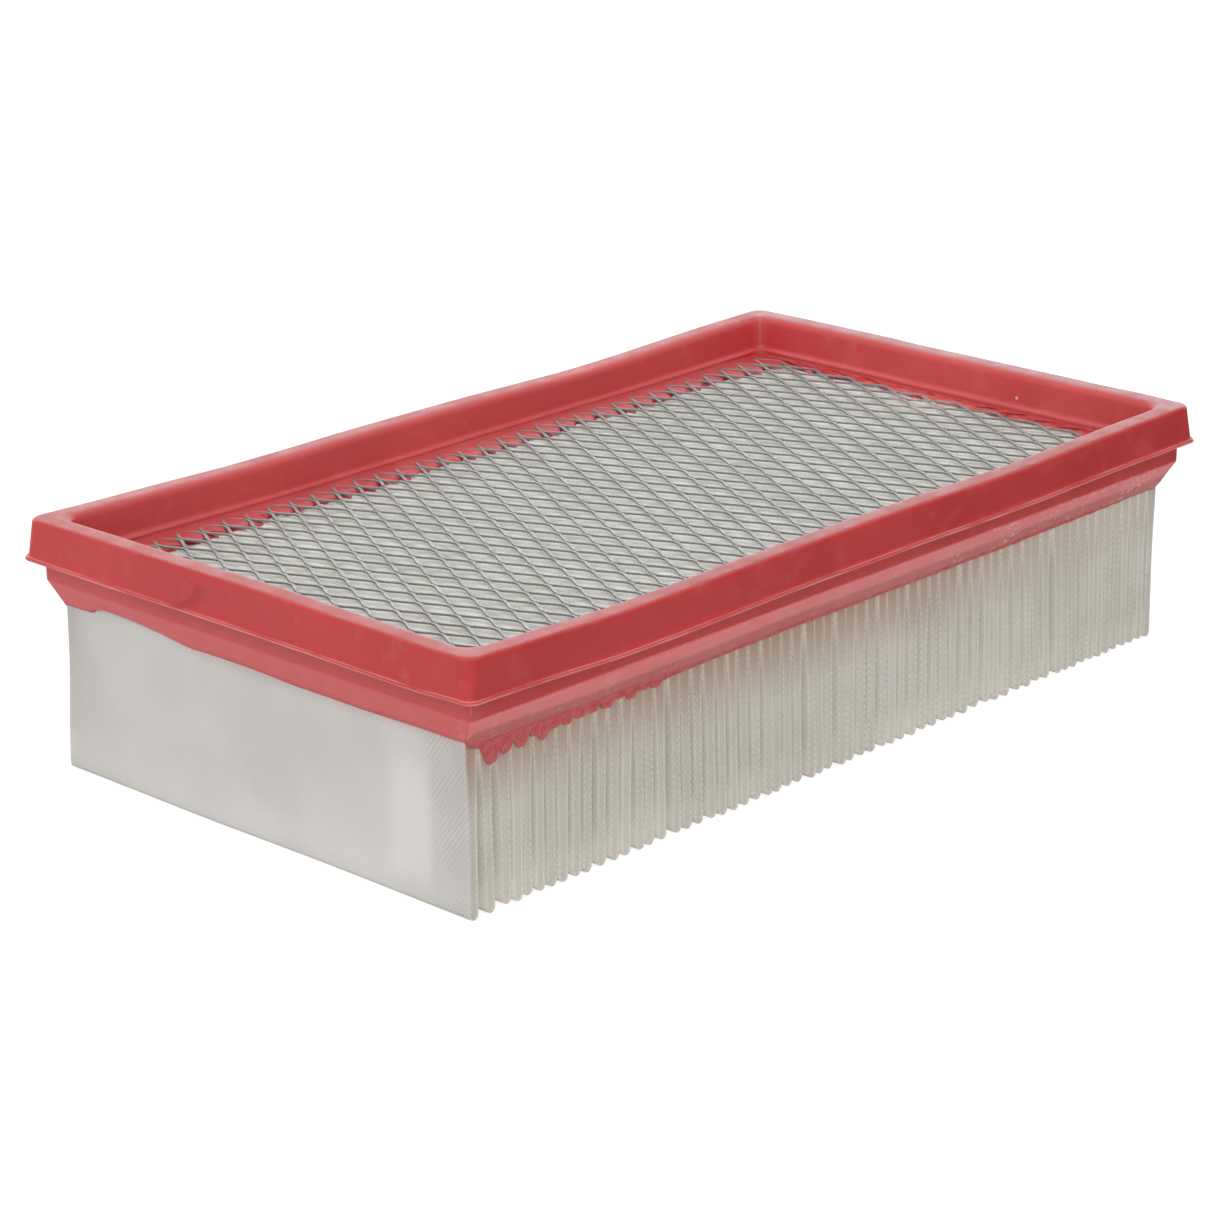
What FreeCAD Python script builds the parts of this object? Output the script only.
import FreeCAD, Part
import math
import os
import Sketcher

# Rectangular pleated panel air filter: a moulded seal frame, a support screen,
# a pleated pack and the beads that close the ends of its pockets.
# The origin is on the base plane under the middle of the pack, where the tips
# of the pleats lie (z = 0). X runs along the long sides, Y along the short
# sides, and Z points up towards the screen. Lengths are in millimetres.

V = FreeCAD.Vector
Constraint = Sketcher.Constraint

# Sketcher's numbers for the points of an element, the origin and the vertical axis
START, END, CENTRE = 1, 2, 3
ORIGIN = (-1, 1)
VERTICAL_AXIS = -2

doc = FreeCAD.newDocument("panel_air_filter")

# ---------------------------------------------------------------- dimensions
# alias, value or formula, note
ROWS = [
    # moulded seal frame, outside
    ("flash_length", 244.0, "overall length over the flash lip"),
    ("flash_width", 141.0, "overall width over the flash lip"),
    ("rim_top", 58.8, "height of the sealing rim above the pleat tips"),
    ("flash_bottom", 49.5, "underside of the sealing flange"),
    ("flash_thick", 0.8, "thickness of the flash lip"),
    ("flash_radius", 2.4, "corner radius of the flash lip"),
    ("flange_step", 0.55, "set-back of the flange side above the flash lip"),
    ("rim_inset", 1.15, "set-back of the rim's outer edge at the top"),
    ("rim_radius", 3.2, "corner radius of the rim"),
    ("rim_rounding", 0.7, "rounding of the rim's edges"),
    ("skirt_inset", 3.1, "recess of the skirt under the flange"),
    ("skirt_break", 45.0, "height where the skirt starts to lean in"),
    ("skirt_bottom", 38.2, "lower edge of the skirt"),
    ("skirt_radius", 1.0, "corner radius of the skirt"),
    ("skirt_toe_length", 233.2, "length of the skirt at its lower edge"),
    ("skirt_toe_width", 127.4, "width of the skirt at its lower edge"),
    ("overlap", 0.05, "overlap of the flange side and the skirt with the flash lip"),
    # moulded seal frame, inside
    ("well_inset", 6.9, "inner edge of the rim at the top"),
    ("well_radius", 3.0, "corner radius of the well, the bead and the groove"),
    ("well_draft", 0.5, "draft of the well's wall over its depth"),
    ("bead_top", 51.4, "foot of the well's wall, where the holding bead starts"),
    ("bead_low", 50.6, "inner top edge of the holding bead"),
    ("bead_inset", 8.9, "inner edge of the holding bead"),
    ("groove_inset", 7.7, "outer wall of the screen's groove under the bead"),
    ("film_thick", 0.6, "thickness of the film over the pleat tops"),
    ("window_length", 215.0, "length of the open window"),
    ("window_width", 103.0, "width of the open window"),
    ("window_radius", 3.0, "corner radius of the open window"),
    ("cavity_play", 0.1, "length and width of the cavity beyond the pack's"),
    ("cavity_radius", 0.3, "corner radius of the cavity"),
    # pleated media
    ("pleat_count", 64, "number of pockets"),
    ("pleat_pitch", 3.63, "distance between pockets"),
    ("sheet_thick", 0.5, "thickness of the media"),
    ("tip_radius", 1.2, "outer radius of a pocket's tip"),
    ("fold_radius", 1.1, "outer radius of a top fold"),
    ("pleat_top", 48.6, "height of the top folds"),
    ("pleat_width", 126.2, "length of the folds along Y"),
    # pocket end seals
    ("seal_depth", 3.0, "depth of the bead that closes a pocket's end"),
    ("seal_top", 47.4, "height of the beads' upper end"),
    ("seal_tip_gap", 0.02, "gap between a bead and the media at the tip"),
    ("seal_side_gap", 0.03, "gap allowed on each side of a bead's upper end"),
    # support screen
    ("screen_thick", 0.5, "thickness of the expanded metal"),
    ("screen_level", "=pleat_top + film_thick", "underside of the screen"),
    ("mesh_pitch_x", 6.706, "short diagonal of a diamond, bond to bond"),
    ("mesh_pitch_y", 11.976, "long diagonal of a diamond, bond to bond"),
    ("strand_width", 0.9, "width of a strand in plan"),
    ("mesh_origin_x", 0.05, "place of one bond along X"),
    ("mesh_origin_y", 0.76, "place of one bond along Y"),
    ("mesh_margin", 0.2, "openings closer to the screen's edge are cut as border"),
    ("screen_left", 114.0, "reach of the screen towards -X"),
    ("screen_right", 109.1, "reach of the screen towards +X"),
    ("screen_side", 62.4, "reach of the screen towards +Y and -Y"),
]

sheet = doc.addObject("Spreadsheet::Sheet", "Dimensions")
sheet.Label = "Dimensions"
for number, (alias, value, note) in enumerate(ROWS, start=1):
    sheet.set("A%d" % number, alias)
    sheet.set("B%d" % number, str(value))
    sheet.set("C%d" % number, note)
    sheet.setAlias("B%d" % number, alias)
doc.recompute()

size = {row[0]: float(getattr(sheet, row[0])) for row in ROWS}
CELLS = {alias: "Dimensions." + alias for alias in size}

# the row of pockets, centred on the origin
FIRST_POCKET = "-({pleat_count} - 1) * {pleat_pitch} / 2"
ROW_LENGTH = "({pleat_count} - 1) * {pleat_pitch}"


def bind(target, prop, formula):
    """Drive a property by a formula with the sheet's aliases in braces."""
    target.setExpression(prop, formula.format_map(CELLS))


# ------------------------------------------------------------ sketch helpers
def origin_feature(body, role):
    for feature in body.Origin.OriginFeatures:
        if feature.Role == role:
            return feature
    raise RuntimeError("no origin feature " + role)


def new_body(name):
    body = doc.addObject("PartDesign::Body", name)
    body.Label = name
    return body


def new_sketch(body, name, plane):
    sketch = body.newObject("Sketcher::SketchObject", name)
    sketch.AttachmentSupport = [(origin_feature(body, plane), "")]
    sketch.MapMode = "FlatFace"
    return sketch


def line(x_from, y_from, x_to, y_to):
    return Part.LineSegment(V(x_from, y_from, 0), V(x_to, y_to, 0))


def arc(x, y, radius, start, end):
    return Part.ArcOfCircle(Part.Circle(V(x, y, 0), V(0, 0, 1), radius), start, end)


def constrain(sketch, kind, *elements):
    return sketch.addConstraint(Constraint(kind, *elements))


def dimension(sketch, name, kind, elements, value, formula):
    """A named constraint that starts at value and is driven by formula."""
    index = constrain(sketch, kind, *elements, value)
    sketch.renameConstraint(index, name)
    bind(sketch, "Constraints." + name, formula)


def join_ring(sketch, count, backward=()):
    """Close the first count elements into a ring. The ring runs through the
    backward ones from their end to their start."""
    for here in range(count):
        after = (here + 1) % count
        leave = START if here in backward else END
        enter = END if after in backward else START
        constrain(sketch, "Coincident", here, leave, after, enter)


def rounded_rect(body, name, level, length, width, radius):
    """A centred rounded rectangle on a horizontal plane, sized by formulas."""
    sketch = new_sketch(body, name, "XY_Plane")
    bind(sketch, "AttachmentOffset.Base.z", level)
    # starting shape for the solver: half length, half width, corner
    a, b, r = 50.0, 30.0, 3.0
    for ends in ((-a + r, -b, a - r, -b), (a, -b + r, a, b - r),
                 (a - r, b, -a + r, b), (-a, b - r, -a, -b + r)):
        sketch.addGeometry(line(*ends), False)
    corners = ((a - r, -b + r), (a - r, b - r), (-a + r, b - r), (-a + r, -b + r))
    for k, (x, y) in enumerate(corners):
        start = (k - 1) * math.pi / 2
        sketch.addGeometry(arc(x, y, r, start, start + math.pi / 2), False)

    # lines are 0 to 3, arcs 4 to 7; each line runs tangent into the next arc
    for k in range(4):
        constrain(sketch, "Tangent", k, END, 4 + k, START)
        constrain(sketch, "Tangent", 4 + k, END, (k + 1) % 4, START)
    for k, kind in enumerate(("Horizontal", "Vertical", "Horizontal", "Vertical")):
        constrain(sketch, kind, k)
    for k in (4, 5, 6):
        constrain(sketch, "Equal", k, k + 1)
    constrain(sketch, "Symmetric", 4, CENTRE, 6, CENTRE, *ORIGIN)
    dimension(sketch, "corner", "Radius", (4,), r, radius)
    dimension(sketch, "span_x", "DistanceX", (3, START, 1, START), 2 * a, length)
    dimension(sketch, "span_y", "DistanceY", (0, START, 2, START), 2 * b, width)
    return sketch


def inset_rect(body, name, level, inset, radius):
    """A rounded rectangle set in from the flash lip's outline."""
    return rounded_rect(body, name, level,
                        "{flash_length} - 2 * (" + inset + ")",
                        "{flash_width} - 2 * (" + inset + ")", radius)


# ----------------------------------------------------------- feature helpers
def require_change(body, name, before, sign):
    """Recompute, and stop if a feature didn't add (+1) or cut (-1) material."""
    doc.recompute()
    if not sign * (body.Shape.Volume - before) > 1.0:
        raise RuntimeError("the feature " + name + " changes nothing")


def pad(body, name, sketch, length, downwards=False):
    feature = body.newObject("PartDesign::Pad", name)
    feature.Profile = sketch
    bind(feature, "Length", length)
    feature.Reversed = downwards
    return feature


def pocket(body, name, sketch, length, upwards=False):
    doc.recompute()
    before = body.Shape.Volume
    feature = body.newObject("PartDesign::Pocket", name)
    feature.Profile = sketch
    bind(feature, "Length", length)
    feature.Reversed = upwards
    require_change(body, name, before, -1)


def loft(body, kind, name, first, second):
    doc.recompute()
    before = body.Shape.Volume
    feature = body.newObject("PartDesign::" + kind, name)
    feature.Profile = first
    feature.Sections = [second]
    feature.Ruled = True
    require_change(body, name, before, 1 if kind == "AdditiveLoft" else -1)


def repeat_pockets(body, name, original):
    """Repeat the feature of the first pocket along X for the whole row."""
    doc.recompute()
    row = body.newObject("PartDesign::LinearPattern", name)
    row.Originals = [original]
    row.Direction = (origin_feature(body, "X_Axis"), [""])
    bind(row, "Length", ROW_LENGTH)
    bind(row, "Occurrences", "{pleat_count}")
    body.Tip = row
    doc.recompute()


# ---------------------------------------------------------------- seal frame
def add_frame_outside(frame):
    """The flash lip, the flange with its rim above and the skirt below."""
    flash = rounded_rect(frame, "flash_outline", "{flash_bottom}",
                         "{flash_length}", "{flash_width}", "{flash_radius}")
    pad(frame, "flash_lip", flash, "{flash_thick}")

    side_low = inset_rect(frame, "side_low", "{flash_bottom} + {flash_thick} - {overlap}",
                          "{flange_step}", "{rim_radius}")
    side_high = inset_rect(frame, "side_high", "{rim_top}", "{rim_inset}", "{rim_radius}")
    loft(frame, "AdditiveLoft", "flange_side", side_low, side_high)

    skirt = inset_rect(frame, "skirt_outline", "{flash_bottom} + {overlap}",
                       "{skirt_inset}", "{skirt_radius}")
    pad(frame, "skirt_wall", skirt, "{flash_bottom} + {overlap} - {skirt_break}",
        downwards=True)

    lean_start = inset_rect(frame, "skirt_break_outline", "{skirt_break}",
                            "{skirt_inset}", "{skirt_radius}")
    toe = rounded_rect(frame, "skirt_toe_outline", "{skirt_bottom}",
                       "{skirt_toe_length}", "{skirt_toe_width}", "{skirt_radius}")
    loft(frame, "AdditiveLoft", "skirt_slope", lean_start, toe)


def cut_frame_inside(frame):
    """The well, the bead and groove for the screen, the window and the cavity."""
    well_foot = "{well_inset} + {well_draft}"
    well_high = inset_rect(frame, "well_high", "{rim_top}", "{well_inset}", "{well_radius}")
    well_low = inset_rect(frame, "well_low", "{bead_top}", well_foot, "{well_radius}")
    loft(frame, "SubtractiveLoft", "well", well_high, well_low)

    # the sloping top of the holding bead
    bead_high = inset_rect(frame, "bead_high", "{bead_top}", well_foot, "{well_radius}")
    bead_low = inset_rect(frame, "bead_low_outline", "{bead_low}",
                          "{bead_inset}", "{well_radius}")
    loft(frame, "SubtractiveLoft", "bead_slope", bead_high, bead_low)

    # the bead's inner face, down to the film
    bead_face = inset_rect(frame, "bead_face", "{bead_low}", "{bead_inset}", "{well_radius}")
    pocket(frame, "screen_seat", bead_face, "{bead_low} - {screen_level}")

    # the groove under the bead, which holds the edge of the screen
    groove = inset_rect(frame, "groove_outline", "{screen_level} + {screen_thick}",
                        "{groove_inset}", "{well_radius}")
    pocket(frame, "screen_groove", groove, "{screen_thick}")

    # the window through the film
    window = rounded_rect(frame, "window_outline", "{screen_level}",
                          "{window_length}", "{window_width}", "{window_radius}")
    pocket(frame, "window", window, "{film_thick}")

    # the cavity that grips the upper edge of the pleat pack
    cavity = rounded_rect(frame, "cavity_outline", "{skirt_bottom}",
                          "{pleat_count} * {pleat_pitch} + {cavity_play}",
                          "{pleat_width} + {cavity_play}", "{cavity_radius}")
    pocket(frame, "pack_cavity", cavity, "{pleat_top} - {skirt_bottom}", upwards=True)


def level_edges(shape, level):
    """Names of the edges that lie wholly at one height."""
    names = []
    for number, edge in enumerate(shape.Edges, start=1):
        box = edge.BoundBox
        if abs(box.ZMin - level) < 1e-4 and abs(box.ZMax - level) < 1e-4:
            names.append("Edge%d" % number)
    return names


def build_seal_frame():
    """One moulding: a raised rim round a shallow well, a thin flash lip and a
    skirt. A film over the outer pleat tops carries the edge of the screen, and
    a bead at the foot of the well's wall holds it down."""
    frame = new_body("seal_frame")
    add_frame_outside(frame)
    cut_frame_inside(frame)

    moulded = frame.Tip
    edges = level_edges(moulded.Shape, size["rim_top"])
    rounding = frame.newObject("PartDesign::Fillet", "rim_edges")
    rounding.Base = (moulded, edges)
    bind(rounding, "Radius", "{rim_rounding}")
    doc.recompute()
    return frame


# ------------------------------------------------------------- pleated media
def draw_pocket_section(body):
    """One hanging pocket of the sheet, between the middles of two top folds."""
    half = size["pleat_pitch"] / 2
    thick = size["sheet_thick"]
    tip = size["tip_radius"]
    fold = size["fold_radius"]
    level = size["pleat_top"] - fold
    quarter = math.pi / 2

    sketch = new_sketch(body, "pocket_section", "XZ_Plane")
    (low_left, _, low_tip, _, low_right, _,
     up_right, _, up_tip, _, up_left, _) = range(12)
    for element in (
            # lower face of the sheet, left to right
            arc(-half, level, fold - thick, 0, quarter),
            line(-half + fold - thick, level, -tip, tip),
            arc(0, tip, tip, math.pi, 2 * math.pi),
            line(tip, tip, half - fold + thick, level),
            arc(half, level, fold - thick, quarter, math.pi),
            # right edge, middle of the top fold
            line(half, level + fold - thick, half, level + fold),
            # upper face of the sheet, right to left
            arc(half, level, fold, quarter, math.pi),
            line(half - fold, level, tip - thick, tip),
            arc(0, tip, tip - thick, math.pi, 2 * math.pi),
            line(-tip + thick, tip, -half + fold, level),
            arc(-half, level, fold, 0, quarter),
            # left edge
            line(-half, level + fold, -half, level + fold - thick)):
        sketch.addGeometry(element, False)
    join_ring(sketch, 12, backward=(low_left, low_right, up_tip))

    # the tip's two arcs share a centre, one radius above the base
    constrain(sketch, "PointOnObject", low_tip, CENTRE, VERTICAL_AXIS)
    dimension(sketch, "tip_height", "DistanceY", (*ORIGIN, low_tip, CENTRE), tip,
              "{tip_radius}")
    dimension(sketch, "tip_outer", "Radius", (low_tip,), tip, "{tip_radius}")
    constrain(sketch, "Coincident", up_tip, CENTRE, low_tip, CENTRE)
    dimension(sketch, "tip_inner", "Radius", (up_tip,), tip - thick,
              "{tip_radius} - {sheet_thick}")
    for curve in (low_tip, up_tip):
        for point in (START, END):
            constrain(sketch, "Horizontal", curve, point, curve, CENTRE)

    # each top fold's two arcs share a centre, half a pitch to the side; side_point
    # is the end of an arc that is level with its centre
    for side, inner, outer, side_point, top_point in (
            ("right", low_right, up_right, END, START),
            ("left", low_left, up_left, START, END)):
        constrain(sketch, "Coincident", inner, CENTRE, outer, CENTRE)
        for curve in (inner, outer):
            constrain(sketch, "Horizontal", curve, side_point, curve, CENTRE)
            constrain(sketch, "Vertical", curve, top_point, curve, CENTRE)
        centre = (inner, CENTRE)
        span = (*ORIGIN, *centre) if side == "right" else (*centre, *ORIGIN)
        dimension(sketch, "half_pitch_" + side, "DistanceX", span, half,
                  "{pleat_pitch} / 2")
        dimension(sketch, "fold_height_" + side, "DistanceY", (*ORIGIN, *centre), level,
                  "{pleat_top} - {fold_radius}")
        dimension(sketch, "fold_outer_" + side, "Radius", (outer,), fold,
                  "{fold_radius}")
        dimension(sketch, "fold_inner_" + side, "Radius", (inner,), fold - thick,
                  "{fold_radius} - {sheet_thick}")
    bind(sketch, "AttachmentOffset.Base.x", FIRST_POCKET)
    doc.recompute()
    return sketch


def build_pleated_media():
    """One continuous sheet folded into pockets that are open towards the screen.
    Each copy of the pocket meets the next at the middle of a top fold."""
    media = new_body("pleated_media")
    one = pad(media, "one_pocket", draw_pocket_section(media), "{pleat_width}")
    one.SideType = "Symmetric"
    repeat_pockets(media, "pocket_row", one)
    return media


# ----------------------------------------------------------- pocket end seals
def build_pocket_seals(name, offset):
    """The beads that close the pockets' ends along one long side, as separate
    solids. The XZ plane's normal is -Y, so a positive offset moves to -Y."""
    body = new_body(name)
    body.AllowCompound = True
    sketch = new_sketch(body, name + "_section", "XZ_Plane")
    radius = size["tip_radius"] - size["sheet_thick"] - size["seal_tip_gap"]
    half_top = size["pleat_pitch"] / 2 - size["fold_radius"] - size["seal_side_gap"]
    top = size["seal_top"]
    tip = size["tip_radius"]
    round_end, top_edge = 0, 2
    for element in (arc(0, tip, radius, math.pi, 2 * math.pi),
                    line(radius, tip, half_top, top),
                    line(half_top, top, -half_top, top),
                    line(-half_top, top, -radius, tip)):
        sketch.addGeometry(element, False)
    join_ring(sketch, 4)
    constrain(sketch, "PointOnObject", round_end, CENTRE, VERTICAL_AXIS)
    for point in (START, END):
        constrain(sketch, "Horizontal", round_end, point, round_end, CENTRE)
    constrain(sketch, "Symmetric", top_edge, START, top_edge, END, VERTICAL_AXIS)
    dimension(sketch, "tip_height", "DistanceY", (*ORIGIN, round_end, CENTRE), tip,
              "{tip_radius}")
    dimension(sketch, "tip_inner", "Radius", (round_end,), radius,
              "{tip_radius} - {sheet_thick} - {seal_tip_gap}")
    dimension(sketch, "bead_height", "DistanceY", (*ORIGIN, top_edge, START), top,
              "{seal_top}")
    dimension(sketch, "bead_width", "DistanceX", (top_edge, END, top_edge, START),
              2 * half_top, "{pleat_pitch} - 2 * ({fold_radius} + {seal_side_gap})")
    bind(sketch, "AttachmentOffset.Base.x", FIRST_POCKET)
    bind(sketch, "AttachmentOffset.Base.z", offset)
    doc.recompute()

    one = pad(body, name + "_bead", sketch, "{seal_depth}")
    repeat_pockets(body, name + "_row", one)
    return body


# ------------------------------------------------------------ support screen
def build_support_screen():
    """Expanded metal: a flat sheet with staggered diamond openings. Openings
    that cross its edge leave open forks. The lattice is built in code, because
    a sketch can't carry several hundred openings."""
    pitch_x = size["mesh_pitch_x"]
    pitch_y = size["mesh_pitch_y"]
    left = -size["screen_left"]
    right = size["screen_right"]
    side = size["screen_side"]
    level = size["screen_level"]
    margin = size["mesh_margin"]

    def polygon(*points):
        corners = [V(x, y, level) for x, y in points]
        return Part.makePolygon(corners + corners[:1])

    # a diamond between the strands' centre lines, shrunk by half a strand
    edge = math.hypot(pitch_x / 2, pitch_y / 2)
    centre_to_edge = (pitch_x / 2) * (pitch_y / 2) / edge
    shrink = 1.0 - (size["strand_width"] / 2) / centre_to_edge
    half_x = pitch_x / 2 * shrink
    half_y = pitch_y / 2 * shrink

    whole = []
    border = []
    count_x = int((right - left) / pitch_x) + 4
    count_y = int(2 * side / pitch_y) + 4
    for i in range(-count_x, count_x + 1):
        for j in range(-count_y, count_y + 1):
            for stagger in (0.0, 0.5):
                x = size["mesh_origin_x"] + pitch_x * (i + 0.5 + stagger)
                y = size["mesh_origin_y"] + pitch_y * (j + stagger)
                if (x + half_x < left or x - half_x > right or
                        y + half_y < -side or y - half_y > side):
                    continue
                diamond = polygon((x - half_x, y), (x, y - half_y),
                                  (x + half_x, y), (x, y + half_y))
                if (x - half_x > left + margin and x + half_x < right - margin and
                        y - half_y > -side + margin and y + half_y < side - margin):
                    whole.append(diamond)
                else:
                    border.append(Part.Face(diamond))

    outline = polygon((left, -side), (right, -side), (right, side), (left, side))
    trimmed = Part.Face(outline).cut(border)
    # loose scraps at the border are left out
    plate = max(trimmed.Faces, key=lambda face: face.Area)
    holes = [wire for wire in plate.Wires if not wire.isSame(plate.OuterWire)]
    plate = Part.Face([plate.OuterWire] + holes + whole)
    plate.validate()

    screen = doc.addObject("Part::Feature", "support_screen")
    screen.Label = "support_screen"
    screen.Shape = plate.extrude(V(0, 0, size["screen_thick"]))
    doc.recompute()
    return screen


# ---------------------------------------------------------- build and export
parts = [
    build_seal_frame(),
    build_pleated_media(),
    # front is the -Y side, rear the +Y side
    build_pocket_seals("pocket_seals_front", "{pleat_width} / 2 - {seal_depth}"),
    build_pocket_seals("pocket_seals_rear", "-{pleat_width} / 2"),
    build_support_screen(),
]

for obj in doc.Objects:
    if "Invalid" in obj.State or "Error" in obj.State:
        raise RuntimeError("object failed: %s %s" % (obj.Name, obj.State))
for part in parts:
    if part.Shape.isNull() or not part.Shape.isValid() or part.Shape.Volume <= 0:
        raise RuntimeError("bad shape: " + part.Label)

os.makedirs("parts", exist_ok=True)
for part in parts:
    part.Shape.exportStep("parts/" + part.Label + ".step")
